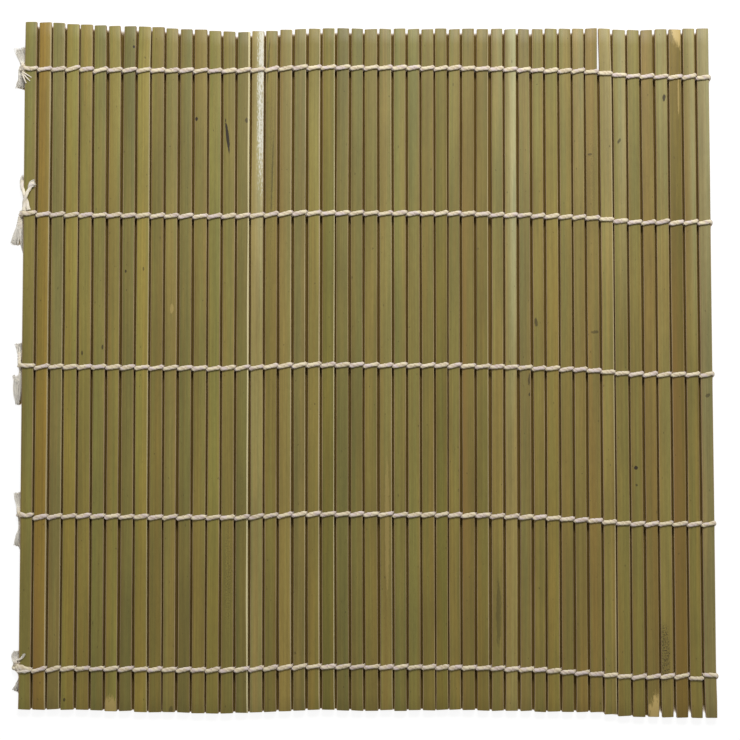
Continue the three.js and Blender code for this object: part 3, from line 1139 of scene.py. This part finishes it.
def lay_fibre(shape, points, opens, draw):
    """One fibre of a frayed end, from where the twist opens to its own tip."""
    lane = draw.uniform(-1, 1)
    level = draw.uniform(-1, 1) * math.sqrt(1 - lane * lane)
    tip = 1 - 0.32 * draw.random() ** 1.6
    curl, turn = draw.uniform(0.02, 0.16), draw.uniform(0, TAU)
    drift = draw.uniform(-0.35, 0.35)
    steps = 10
    line = []
    for i in range(steps + 1):
        share = opens + (tip - opens) * i / steps
        at = along_line(points, share)
        ahead = (along_line(points, share + 0.02) - along_line(points, share - 0.02)).xyz
        side = Vector((ahead.y, -ahead.x, 0)).normalized()
        lift = 0.34 * min(1.0, at.w) * level * (1 - 0.35 * i / steps)
        wave = curl * math.sin(turn + 4.5 * i / steps) * i / steps
        across = (lane + drift * (i / steps) ** 2) * (at.w - 2 * FIBRE) / 2 + wave
        place = at.xyz + side * across
        place.z = max(place.z + lift, 0.1)
        line.append(place)
    thin = FIBRE * draw.uniform(0.7, 1.2)
    halves = [(thin * (1 - 0.5 * i / steps),) * 2 for i in range(steps + 1)]
    shades = [draw.uniform(0.55, 1)] * (steps + 1)
    fray = draw.uniform(0.7, 1)
    untwisted = [0.0] * (steps + 1)
    Strand(shape, 4).lay(line, halves, untwisted, shades, 0.0, fray=fray, side=UPRIGHT)


def lay_knot(shape, row, draw):
    """A pulled-tight knot that leans on the first slat."""
    size = KNOT_SIZE[row.number]
    steps = 60
    line = []
    for i in range(steps + 1):
        t = TAU * i / steps * 0.985
        along = 0.33 * (math.sin(t) + 2 * math.sin(2 * t))
        rise = 0.3 * (math.cos(t) - 2 * math.cos(2 * t))
        out = -0.4 * math.sin(3 * t)
        across = out * math.cos(KNOT_LEAN) + rise * math.sin(KNOT_LEAN)
        up = rise * math.cos(KNOT_LEAN) - out * math.sin(KNOT_LEAN)
        line.append(row.knot + Vector((across + 0.2, along, up)) * size)
    twists = [0.55 * i for i in range(steps + 1)]
    halves = [(0.42 * size**0.7, 0.46 * size**0.7)] * (steps + 1)
    shades = [draw.uniform(0.4, 0.9)] * (steps + 1)
    Strand(shape, 10).lay(line, halves, twists, shades, 0.12, fray=0.15, side=LEVEL)


def lay_half(shape, row, slat, over):
    """The first slat's half stitch, from the knot to the slat's middle, over or under it."""
    settings = bpy.context.scene.mat_twine
    z = TOP if over else LOW
    y_end = row.over(slat.number) if over else row.under(slat.number)
    edge = slat.low.x
    lift = 0.5 if over else -0.4
    points = [
        row.knot + Vector((0.1, 0, lift)),
        Vector((row.knot.x + 0.55, row.knot.y, (row.knot.z + lift + z) / 2 + 0.25 * lift)),
        Vector((edge - 0.25, row.knot.y + 0.02, z - 0.25 * lift)),
        Vector((edge + 0.35, row.knot.y + 0.1 * (y_end - row.knot.y), z)),
        Vector((edge + 1.1, row.knot.y + 0.4 * (y_end - row.knot.y), z)),
        Vector((row.slats[0], y_end, z)),
    ]
    count = len(points) - 1
    thick, wide = settings.half_height / MM, settings.half_width / MM
    share = FIRST_SHARE[row.number] if over else 0.85
    halves = [(thick, wide * share)] * count + [(thick, wide * row.plump[1])]
    end_twist = row.phase + TAU * settings.turns + (0 if over else RISING_TWIST)
    twists = [end_twist - 0.85 * (count - i) for i in range(count + 1)]
    shades = [row.shade[1]] * (count + 1)
    Strand(shape, settings.sides).lay(points, halves, twists, shades, settings.lobe)


class MAT_OT_knots(bpy.types.Operator):
    """Build each row's knot, frayed tails and first half stitch, on the first slat"""

    bl_idname = "mat.knots"
    bl_label = "Knots and tails"

    def execute(self, context):
        material = shared_material("cotton", cotton_material)
        slats = all_slats()
        for row in all_rows(slats):
            draw = Random(900 + row.number)
            shape = Shape(TWINE_VALUES)
            lay_knot(shape, row, draw)
            lay_half(shape, row, slats[0], True)
            lay_half(shape, row, slats[0], False)
            for tail in TAILS[row.number]:
                lay_tail(shape, row.knot, tail, draw)
            piece = shape.make(f"twine_knot_{row.number}", material, "cotton_twine", TWINE_CREASE)
            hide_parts(f"twine_row_{row.number}")
            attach(piece, "slat_01")
        return {"FINISHED"}


LOOP_STEPS = 8
LOOP_INSET = 0.13  # from the last slat's side back to where the bend begins
LOOP_LENGTH = 0.62  # how far the bend's middle line reaches from there


def lay_loop(shape, row, slat):
    """The twine round the last slat, from the strand over it to the strand under it."""
    settings = bpy.context.scene.mat_twine
    last, middle = slat.number, row.slats[-1]
    over, under = row.over(last), row.under(last)
    far, near = row.down[last], row.up[last]
    bend = middle + slat.width / 2 - LOOP_INSET
    radius = (TOP - LOW) / 2
    points = [Vector((middle, over, TOP)), Vector((middle + 1.0, over * 0.5 + far * 0.5, TOP))]
    for i in range(LOOP_STEPS + 1):
        share = i / LOOP_STEPS
        angle = math.radians(90 - 180 * i / LOOP_STEPS)
        x = bend + LOOP_LENGTH * math.cos(angle)
        z = LOW + radius + radius * math.sin(angle)
        points.append(Vector((x, far + (near - far) * share, z)))
    points.append(Vector((middle + 1.0, under * 0.5 + near * 0.5, LOW)))
    points.append(Vector((middle, under, LOW)))
    count = len(points) - 1
    thick, wide = settings.half_height / MM, settings.half_width / MM
    halves = [(thick, wide * row.plump[last])] * (count + 1)
    # It starts as the strand that rises and ends as the one that falls, with their twists.
    start = row.phase + TAU * settings.turns * last + RISING_TWIST
    end = row.phase + TAU * settings.turns * last
    end += TAU * round((start + 2 * TAU - end) / TAU)
    twists = [start + (end - start) * i / count for i in range(count + 1)]
    shades = [row.shade[last]] * (count + 1)
    Strand(shape, settings.sides).lay(points, halves, twists, shades, settings.lobe)


class MAT_OT_loops(bpy.types.Operator):
    """Build each row's loop round the last slat"""

    bl_idname = "mat.loops"
    bl_label = "Loops round the last slat"

    def execute(self, context):
        material = shared_material("cotton", cotton_material)
        slats = all_slats()
        for row in all_rows(slats):
            shape = Shape(TWINE_VALUES)
            lay_loop(shape, row, slats[-1])
            piece = shape.make(f"twine_loop_{row.number}", material, "cotton_twine", TWINE_CREASE)
            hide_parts(f"twine_row_{row.number}")
            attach(piece, f"slat_{SLAT_COUNT:02d}")
        return {"FINISHED"}


# Painted light: patches between slats where the paper is painted white as if lit: least and most across,
# then least and most along.
PAINTED_LIGHT_PATCHES = ((82.1, 83.7, 104.0, 126.0), (100.0, 120.0, -126.0, -117.0))
PAPER = 0.88  # how bright the open paper is beside the mat
GAP_SHADE_BROWN, OPEN = (0.17, 0.112, 0.032), (0.2, 0.2, 0.2)  # painted shade: dark brown paper between the slats, then the open paper beside the mat
# The rest of the studio is in metres.
SHADE_REACH, FAR_SHADE_REACH = 0.015, 0.012  # how far off the mat still shades the floor
SHADE_END, HORIZON = 0.17, 0.55  # from the middle, where the paper starts to whiten and is white
FLOOR_HALF = 3.0
LAMP_SIZE = (0.36, 0.18)
LAMP_PLACE = (0.08, 0.46, 0.5)
LAMP_LINE = Vector((0.08, 0.42, 0.5))  # to the lamp, from the point of the floor that it faces
LAMP_COLOUR = (1.0, 0.985, 0.955)


def floor_material(colour):
    """Pale paper: white to the camera, with the mat's shadow kept, painted dark brown shade between the
    slats, and two painted patches of light there.
    """
    material = bpy.data.materials.new("floor")
    paint = Paint(material)
    reach = {"Distance": SHADE_REACH}
    near = paint.node("ShaderNodeAmbientOcclusion", {"samples": 128}, reach, "AO")
    up = paint.node("ShaderNodeCombineXYZ", {}, {1: 0.7, 2: 0.71})
    reach = {"Distance": FAR_SHADE_REACH, "Normal": up}
    far_side = paint.node("ShaderNodeAmbientOcclusion", {"samples": 64}, reach, "AO")
    place = paint.split(paint.node("ShaderNodeNewGeometry", {}, {}, "Position"))
    # Painted light between two pairs of slats, which opens the painted shade there.
    painted_light = lit_patch(place, *PAINTED_LIGHT_PATCHES[0]) * 0.45 + lit_patch(place, *PAINTED_LIGHT_PATCHES[1]) * 0.25
    # Painted shade: where the mat hides the floor, between the slats and close to its sides, the paper is
    # painted dark, warm and brown.
    open_share = (near + painted_light).ramp(0.46, 0.58).most(far_side.ramp(0.48, 0.7))
    # Painted shade: the glow turns warmer where the floor is shaded.
    warm_shade_tint = paint.mix(open_share.ramp(0.3, 1.0), (1.0, 0.8, 0.6), (1.0, 1.0, 1.0))
    # Beyond the mat's shadow the paper gets as white as the backdrop, so no horizon shows.
    beyond = (place[0] * place[0] + place[1] * place[1]).ramp(SHADE_END**2, HORIZON**2)
    # The floor's glow, dark and warm where shade is painted.
    white = paint.mix(open_share * (PAPER + (1 - PAPER) * beyond), (0.0, 0.0, 0.0), warm_shade_tint)
    glow = paint.node("ShaderNodeEmission", {}, {"Color": white, "Strength": 1.0})
    # Painted shade: the paper between the slats is painted brown.
    paper = paint.mix(open_share, GAP_SHADE_BROWN, OPEN)
    shaded = paint.node("ShaderNodeBsdfDiffuse", {}, {"Color": paper})
    both = paint.node("ShaderNodeAddShader", {}, {0: shaded, 1: glow})
    plain = paint.node("ShaderNodeBsdfDiffuse", {}, {"Color": (*colour, 1)})
    paint.surface(paint.node("ShaderNodeMixShader", {}, {0: white_rays(paint), 1: plain, 2: both}))
    return material


def lit_patch(place, left, right, near, far):
    """1 inside a patch of the floor and 0 outside it, with an edge a millimetre wide."""
    inside = 1.0
    for at, low, high in zip(place, (left, near), (right, far)):
        inside = at.ramp((low - 0.5) * MM, (low + 0.5) * MM) * inside
        inside = inside * (1.0 - at.ramp((high - 0.5) * MM, (high + 0.5) * MM))
    return inside


def white_rays(paint):
    """1 for what the camera sees directly or in a mirror or glass, else 0."""
    seen = paint.node("ShaderNodeLightPath", {}, {}, "Is Camera Ray")
    for ray in ("Is Glossy Ray", "Is Transmission Ray"):
        seen = seen.most(paint.node("ShaderNodeLightPath", {}, {}, ray))
    return seen


class MAT_OT_stage(bpy.types.Operator):
    """Build the floor, the light and the camera"""

    bl_idname = "mat.stage"
    bl_label = "Floor, light and camera"

    def execute(self, context):
        scene = context.scene
        settings = scene.mat_stage
        self.floor(scene, settings)
        self.world(scene, settings)
        self.lamp(scene, settings)
        self.camera(scene, settings)
        scene.view_settings.view_transform = "Standard"
        return {"FINISHED"}

    def floor(self, scene, settings):
        half = FLOOR_HALF
        mesh = bpy.data.meshes.new("floor")
        corners = [(-half, -half, 0), (half, -half, 0), (half, half, 0), (-half, half, 0)]
        mesh.from_pydata(corners, [], [(0, 1, 2, 3)])
        mesh.materials.append(floor_material(settings.floor))
        floor = bpy.data.objects.new("floor", mesh)
        scene.collection.objects.link(floor)

    def world(self, scene, settings):
        scene.world = bpy.data.worlds.new("studio")
        paint = Paint(scene.world)
        strength = white_rays(paint) * (1 - settings.fill) + settings.fill
        background = paint.node(
            "ShaderNodeBackground", {}, {"Color": (1, 1, 1, 1), "Strength": strength}
        )
        paint.node("ShaderNodeOutputWorld", {}, {"Surface": background})

    def lamp(self, scene, settings):
        data = bpy.data.lights.new("key", "AREA")
        data.shape = "RECTANGLE"
        data.size, data.size_y = LAMP_SIZE
        data.energy = settings.key
        data.color = LAMP_COLOUR
        lamp = bpy.data.objects.new("key", data)
        lamp.location = LAMP_PLACE
        lamp.rotation_euler = (-LAMP_LINE).to_track_quat("-Z", "Y").to_euler()
        scene.collection.objects.link(lamp)

    def camera(self, scene, settings):
        data = bpy.data.cameras.new("camera")
        data.lens = settings.lens
        data.sensor_width = 36.0
        camera = bpy.data.objects.new("camera", data)
        aim = Vector((settings.aim_x, settings.aim_y, 0))
        height = settings.height
        place = aim + Vector(
            (-height * math.tan(settings.side), -height * math.tan(settings.tilt), height)
        )
        ahead = (aim - place).normalized()
        right = ahead.cross(Vector((0, 1, 0))).normalized()
        axes = Matrix((right, right.cross(ahead), -ahead)).transposed().to_4x4()
        turned = axes @ Matrix.Rotation(settings.roll, 4, "Z")
        camera.matrix_world = Matrix.Translation(place) @ turned
        scene.collection.objects.link(camera)
        scene.camera = camera


class MAT_PT_panel(bpy.types.Panel):
    """The mat's settings and the steps that build it"""

    bl_idname = "MAT_PT_panel"
    bl_label = "Rolling mat"
    bl_space_type = "VIEW_3D"
    bl_region_type = "UI"
    bl_category = "Rolling mat"

    def draw(self, context):
        layout = self.layout
        for name, group in GROUPS.items():
            box = layout.box()
            settings = getattr(context.scene, name)
            for key in group.__annotations__:
                box.prop(settings, key)
        for step in STEPS:
            layout.operator(step.bl_idname)


GROUPS = {
    "mat_slats": SlatSettings,
    "mat_bamboo": BambooTones,
    "mat_twine": TwineSettings,
    "mat_stage": StageSettings,
}
STEPS = (MAT_OT_stage, MAT_OT_slats, MAT_OT_links, MAT_OT_knots, MAT_OT_loops)


def register():
    for group in GROUPS.values():
        bpy.utils.register_class(group)
    for step in STEPS:
        bpy.utils.register_class(step)
    bpy.utils.register_class(MAT_PT_panel)
    for name, group in GROUPS.items():
        setattr(bpy.types.Scene, name, PointerProperty(type=group))


def unregister():
    for name in GROUPS:
        delattr(bpy.types.Scene, name)
    bpy.utils.unregister_class(MAT_PT_panel)
    for step in STEPS:
        bpy.utils.unregister_class(step)
    for group in GROUPS.values():
        bpy.utils.unregister_class(group)


def main():
    register()
    bpy.ops.mat.stage()
    bpy.ops.mat.slats()
    bpy.ops.mat.links()
    bpy.ops.mat.knots()
    bpy.ops.mat.loops()


if __name__ == "__main__":
    main()
